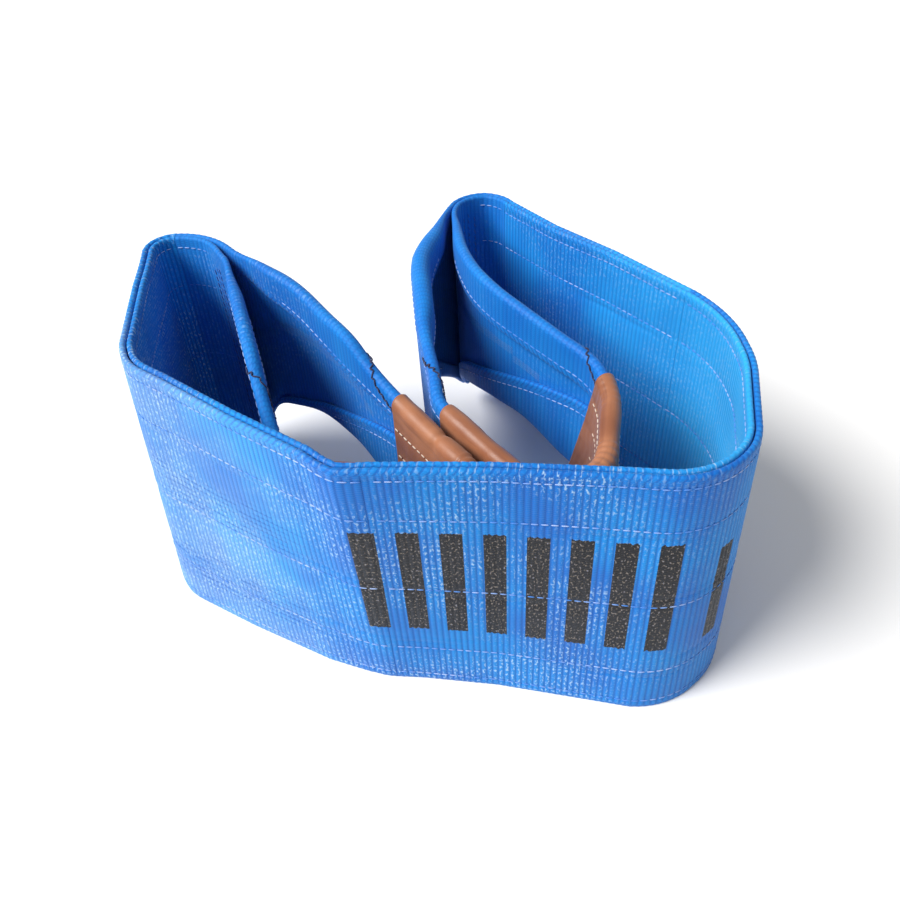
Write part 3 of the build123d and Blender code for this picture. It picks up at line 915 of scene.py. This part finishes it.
# The last argument scales the scuffs together with the painted highlights, the painted light about the
# right bend and the cloth's brighter tones; a low value gives a darker copy as painted shade
def webbing_material(name, printed, wear_and_painted_light):
    """Ribbed polyester webbing: ribs, fine yarn, pale scuffs, painted light and shade, and the print on
    one ply.
    """
    tint = (0.55, 0.75, 1.0, 1)
    n = Nodes(name, Specular_IOR_Level=0.24, Sheen_Weight=0.14, Sheen_Roughness=0.45, Sheen_Tint=tint)
    u, v = n.weave_map()
    whole = n.math("DIVIDE", u, RIB * MM)
    number = n.math("FLOOR", whole)
    from_crown = n.times(n.distance(n.math("FRACT", whole), 0.5), 2.0)

    # The cloth's blue varies slowly, and from rib to rib
    shade = n.noise(n.object_point(), 14.0, 3.0)
    base = n.mix(n.ramp(shade, 0.3, 0.7, 0.0, 0.1 + 0.9 * wear_and_painted_light), BLUE, BRIGHT_BLUE)
    each = n.spots(number, v, 0.37, 9.0, detail=1.0)
    base = n.mix(n.ramp(each, 0.35, 0.75, 0.0, 0.28), base, BRIGHT_BLUE)

    # Yarn across each rib, twisted strands along the edges, and the valleys between ribs; the valleys, the
    # gaps between strands and the hollows between yarns are painted darker as shade
    yarn_phase = n.plus(n.times(v, 2 * pi / (YARN * MM)), n.times(number, pi))
    slant = n.times(from_crown, 2.2)
    yarn = n.math("MULTIPLY_ADD", n.math("SINE", n.plus(yarn_phase, slant)), 0.5, 0.5)
    off_middle = n.distance(v, WEB_WIDTH / 2 * MM)
    edge_start, edge_full = ((WEB_WIDTH / 2 - part) * MM for part in (CORD_START, CORD_FULL))
    corded = n.ramp(off_middle, edge_start, edge_full)
    lay = n.plus(n.times(u, 2 * pi / (TWIST_PITCH * MM)), n.times(off_middle, -TWIST_SLANT / MM))
    strand = n.times(n.ramp(n.math("SINE", lay), 0.1, -0.9, 0.0, 0.7), corded)
    valley = n.times(n.ramp(from_crown, 0.3, 1.0), n.math("SUBTRACT", 1.0, corded))
    recess_shade = n.math("MAXIMUM", n.times(valley, 0.25 + 0.4 * wear_and_painted_light), strand)
    # Painted shade in the rib valleys and between the edge strands
    base = n.mix(n.times(recess_shade, 0.75), base, DEEP_BLUE)
    # Painted shade in the hollows between the yarns
    base = n.mix(n.times(n.math("SUBTRACT", 1.0, yarn), 0.22), base, DEEP_BLUE)

    # Scuffs on the ribs' crowns, where the cloth is worn, and fine pale streaks along the webbing that are
    # painted highlights, both in patches
    scuff = n.ramp(n.spots(u, v, 520.0, 300.0), 0.50, 0.66)
    patch = n.spots(u, v, 11.0, 16.0, 3.7, 3.0)
    worn = n.times(scuff, n.ramp(patch, 0.34, 0.58), n.ramp(from_crown, 0.85, 0.3))
    # Painted highlight: pale streaks along the rib crowns
    streak = n.ramp(n.spots(u, v, 26.0, 640.0, 9.1), 0.60, 0.72)
    streak = n.times(streak, n.ramp(patch, 0.42, 0.58), n.ramp(from_crown, 0.8, 0.4))
    pale = n.math("MAXIMUM", n.times(worn, 0.85 * wear_and_painted_light), n.times(streak, 0.7 * wear_and_painted_light))
    if printed:
        pale = n.times(pale, n.ramp(u, 0.60, 0.69, 1.0, 0.25))
        base = n.mix(pale, front_painted_sheen_and_shade(n, u, v, patch, base), PALE)
        base = front_print(n, u, v, base)
    else:
        pale = n.times(pale, n.ramp(u, 0.74, 0.82, 1.0, 0.35))
        # A brighter blue about the right bend, partly the cloth's own paler blue and partly painted light
        bend_light = n.times(n.band(u, 0.62, 0.74, 0.86, 1.12), 0.50 * wear_and_painted_light)
        base = n.mix(pale, n.mix(bend_light, base, BEND_LIT_BLUE), PALE)
    fuzz = n.noise(n.object_point(), 2600.0)
    height = n.plus(n.times(yarn, 0.7), n.times(fuzz, 0.3))
    return n.finish(base, n.ramp(shade, 0.3, 0.7, 0.52, 0.66), height, 0.00022, 0.7)


TAN = (0.25, 0.088, 0.040, 1)
LIGHT_TAN = (0.39, 0.155, 0.072, 1)
STREAK_BROWN = (0.150, 0.048, 0.024, 1)
# Painted shade on the sleeve's sides
SIDE_SHADE_BROWN = (0.140, 0.040, 0.028, 1)
# Painted shade in the leather's pores
PORE_SHADE_BROWN = (0.140, 0.045, 0.020, 1)
SLEEVE_CREST = (SLEEVE_SIDE_ROWS + len(SLEEVE_TURNS) // 2) * SLEEVE_ROW * MM


def leather_material():
    """Tan hide: a fine grain with its pores painted darker as shade, darker streaks, sides painted darker
    as shade, and a soft shine.
    """
    n = Nodes("leather", Specular_IOR_Level=0.42, Sheen_Weight=0.12, Coat_Weight=0.08, Coat_Roughness=0.35)
    u, v = n.weave_map()
    blotch = n.noise(n.object_point(), 22.0, 4.0)
    streak = n.spots(u, v, 14.0, 90.0, detail=3.0)
    colour = n.mix(n.ramp(blotch, 0.3, 0.7), TAN, LIGHT_TAN)
    colour = n.mix(n.ramp(streak, 0.5, 0.75, 0.0, 0.5), colour, STREAK_BROWN)
    off_crest = n.distance(v, SLEEVE_CREST)
    # Painted shade: the sleeve's sides darker than its crest
    colour = n.mix(n.ramp(off_crest, 0.038, 0.075, 0.0, 0.45), colour, SIDE_SHADE_BROWN)
    pores = n.cells(n.object_point(), 900.0)
    # Painted shade in the pores, where the bump sinks
    colour = n.mix(n.ramp(pores, 0.25, 0.0, 0.0, 0.35), colour, PORE_SHADE_BROWN)
    grain = n.noise(n.object_point(), 300.0, 3.0)
    height = n.plus(n.times(pores, 0.6), n.times(grain, 0.6))
    return n.finish(colour, n.ramp(blotch, 0.3, 0.7, 0.40, 0.55), height, 0.00022, 0.6)


def thread_material(name, colour, shadow, fading):
    """Twisted sewing thread, which fades into its shadow colour in places."""
    n = Nodes(name, Sheen_Weight=0.3)
    u, v = n.weave_map()
    twist = n.math("SINE", n.plus(n.times(u, 26.0 / MM), n.times(v, 2 * pi / 3 / MM)))
    tone = n.noise(n.object_point(), 26.0, 3.0)
    base = n.mix(n.ramp(twist, 1.0, -1.0, 0.0, 0.45), colour, shadow)
    base = n.mix(n.ramp(tone, 0.35, 0.62, 0.0, fading), base, shadow)
    return n.finish(base, n.ramp(tone, 0.3, 0.7, 0.5, 0.7), twist, 0.0001, 0.6)


webbing = webbing_material("webbing", False, 0.9)
printed_webbing = webbing_material("printed_webbing", True, 1.0)
# The legs take a darker copy of the webbing: partly fewer pale scuffs, partly painted shade on their faces
leg_webbing = webbing_material("leg_webbing", False, 0.3)
leather = leather_material()
light_thread = thread_material("light_thread", (0.42, 0.54, 0.82, 1), (0.015, 0.18, 0.62, 1), 0.95)
dark_thread = thread_material("dark_thread", (0.003, 0.012, 0.090, 1), (0.002, 0.006, 0.045, 1), 0.5)
blue_thread = thread_material("blue_thread", (0.006, 0.100, 0.430, 1), (0.003, 0.050, 0.260, 1), 0.5)
white_thread = thread_material("white_thread", (0.80, 0.74, 0.66, 1), (0.50, 0.36, 0.26, 1), 0.6)

# Pieces. Each crosses one joint at most, and is cut in a valley between ribs.
LEFT_CUT, FRONT_CUT, BACK_CUT, RIGHT_CUT = 64.4, 480.0, 945.0, 1168.4
# Where the lengthwise rows stop short of the throats
ROWS_END = 26.0
# How far each side of a joint the webbing turns
LEFT_REACH, RIGHT_REACH, THROAT_REACH = 24.0, 40.0, 6.0
# Thickness of each thread
BODY_THREAD, LEG_THREAD, CLOSING_THREAD, SLEEVE_THREAD = 1.0, 0.95, 1.6, 1.2
PLY_NAMES = ("outer", "inner")
LEFT_LEGS = ("left_eye_far", "left_eye_near")
RIGHT_LEGS = ("right_eye_outer", "right_eye_inner")
PUFF = {"left_eye_far": 0.5, "left_eye_near": 0.6, "right_eye_outer": 3.2, "right_eye_inner": 0.2}


def hinge_line(s, reach):
    """The two points between which a piece turns over from one body to the next."""
    x, y, heading = (float(part[0]) for part in plies[0].at([s]))
    way = Vector((cos(heading), sin(heading), 0)) * reach * MM
    centre = Vector((x * MM, y * MM, 0))
    return centre - way, centre + way


def carry(obj, bodies, nodes, hinge=None):
    """Attaches a piece to its body when it has only one, else bakes its place into its mesh, and hides the
    CAD nodes that it stands for.
    """
    if len(bodies) == 1:
        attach(obj, bodies[0])
    else:
        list(bodies)
        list(hinge)
        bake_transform(obj)
    if nodes:
        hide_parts(*nodes)


left_throat_line = hinge_line(0, THROAT_REACH)[::-1]
left_bend_line = hinge_line(LEFT_HINGE, LEFT_REACH)[::-1]
right_bend_line = hinge_line(RIGHT_HINGE, RIGHT_REACH)
right_throat_line = hinge_line(BODY_END, THROAT_REACH)

for ply in plies:
    kind = PLY_NAMES[ply.number]
    face = printed_webbing if ply.number == 0 else webbing
    left_leg, right_leg = LEFT_LEGS[ply.number], RIGHT_LEGS[ply.number]
    flat = [
        ("left", LEFT_CUT, FRONT_CUT, ("front", "left_wing"), left_bend_line),
        ("right", FRONT_CUT, BACK_CUT, ("front", "right_wing"), right_bend_line),
        ("back", BACK_CUT, RIGHT_CUT, ("right_wing",), None),
    ]
    rings = leg_rings(ply, ply.first, LEFT_CUT, PUFF[left_leg])
    nodes = [f"{left_leg}_leg", "left_eye_bearing_web"]
    obj = loft(f"{left_leg}_leg_webbing", *rings, leg_webbing)
    carry(obj, ("left_wing", "left_eye"), nodes, left_throat_line)
    for where, low, high, bodies, hinge in flat:
        cloth = webbing if where == "back" else face
        obj = loft(f"{where}_{kind}_webbing", *body_rings(ply, low, high), cloth)
        carry(obj, bodies, [f"{body}_{kind}_ply" for body in bodies[::-1]], hinge)
    rings = leg_rings(ply, RIGHT_CUT, ply.last, PUFF[right_leg])
    nodes = [f"{right_leg}_leg", "right_eye_bearing_web"]
    obj = loft(f"{right_leg}_leg_webbing", *rings, leg_webbing)
    carry(obj, ("right_wing", "right_eye"), nodes, right_throat_line)
    curls = [
        ("left_curl", ROWS_END, LEFT_CUT, ("left_wing",), None),
        ("right_curl", RIGHT_CUT, BODY_END - ROWS_END, ("right_wing",), None),
    ]
    for where, low, high, bodies, hinge in flat + curls:
        stitches = body_stitches(ply, low, high)
        obj = sew(f"{where}_{kind}_stitches", stitches, BODY_THREAD, light_thread)
        carry(obj, bodies, [f"{body}_lengthwise_seams" for body in bodies[::-1]], hinge)
    for side, places in (("left", CROSS_ROWS), ("right", [BODY_END - at for at in CROSS_ROWS])):
        stitches = cross_stitches(ply, places)
        obj = sew(f"{side}_{kind}_throat_stitches", stitches, BODY_THREAD, blue_thread)
        carry(obj, (f"{side}_wing",), [f"{side}_throat_cross_seam"])
    for leg_name, body, eye, throat, direction in (
        (left_leg, "left_eye", left_eye, 0, -1),
        (right_leg, "right_eye", right_eye, BODY_END, 1),
    ):
        sleeve_at = eye.sleeve_start(ply.number)
        puff = PUFF[leg_name]
        span, flap_span = (
            sorted((throat + direction * past, throat + direction * (sleeve_at - 5))) for past in (20, 72)
        )
        stitches = [
            leg_stitches(ply, *span, puff, lambda leg: leg.top - 9.0, False),
            leg_stitches(ply, *flap_span, puff, lambda leg: leg.upper_end + 5.0, True),
            leg_stitches(ply, *flap_span, puff, lambda leg: leg.lower_end - 7.0, True),
        ]
        obj = sew(f"{leg_name}_leg_stitches", stitches, LEG_THREAD, light_thread)
        carry(obj, (body,), [f"{leg_name}_leg_seam"])
        starts, ends = (throat + direction * (sleeve_at - before) for before in CLOSING[leg_name])
        stitches = [closing_stitches(ply, starts, ends, puff)]
        obj = sew(f"{leg_name}_closing_stitches", stitches, CLOSING_THREAD, dark_thread)
        carry(obj, (body,), [f"{leg_name}_closing_seam"])

for body, eye, crease, skew in (
    ("left_eye", left_eye, left_eye.sleeve_start(0) + 50, 0.0),
    ("right_eye", right_eye, right_eye.sleeve_start(0) + 300, 30.0),
):
    obj = loft(f"{body}_leather_sleeve", *sleeve_rings(eye, crease, skew), leather)
    carry(obj, (body,), [f"{body}_wear_sleeve", f"{body}_bearing_web"])
    obj = sew(f"{body}_sleeve_stitches", sleeve_stitches(eye), SLEEVE_THREAD, white_thread)
    carry(obj, (body,), [f"{body}_sleeve_seams"])

# Floor, light and camera
bpy.ops.mesh.primitive_plane_add(size=30, location=(0, 0, 0))
floor = bpy.context.object
floor.name = "floor"
paint = Nodes("floor_paint", Roughness=0.9)
clouds = paint.noise(paint.object_point(), 3.0)
grey = paint.mix(clouds, (0.90, 0.90, 0.90, 1), (0.93, 0.93, 0.93, 1))
paint.wire(grey, paint.shader.inputs["Base Color"])
floor.data.materials.append(paint.material)

scene = bpy.context.scene
key_data = bpy.data.lights.new("key", "SUN")
key_data.energy = 4.6
key_data.angle = radians(34)
key_data.color = (1.0, 0.985, 0.96)
key = bpy.data.objects.new("key", key_data)
key.rotation_euler = Vector((-1.5, -0.60, 1.6)).to_track_quat("Z", "Y").to_euler()
scene.collection.objects.link(key)

world = bpy.data.worlds.new("studio")
world.use_nodes = True
background = world.node_tree.nodes["Background"]
background.inputs["Color"].default_value = (1, 1, 1, 1)
background.inputs["Strength"].default_value = 0.40
scene.world = world
scene.view_settings.view_transform = "Standard"

camera_data = bpy.data.cameras.new("camera")
camera_data.sensor_width = 36
camera_data.lens = 32.685
camera_data.shift_x = -0.0644
camera = bpy.data.objects.new("camera", camera_data)
camera.location = (0.066, -0.5647, 0.578)
camera.rotation_euler = (radians(90 - 41), 0, 0)
scene.collection.objects.link(camera)
scene.camera = camera
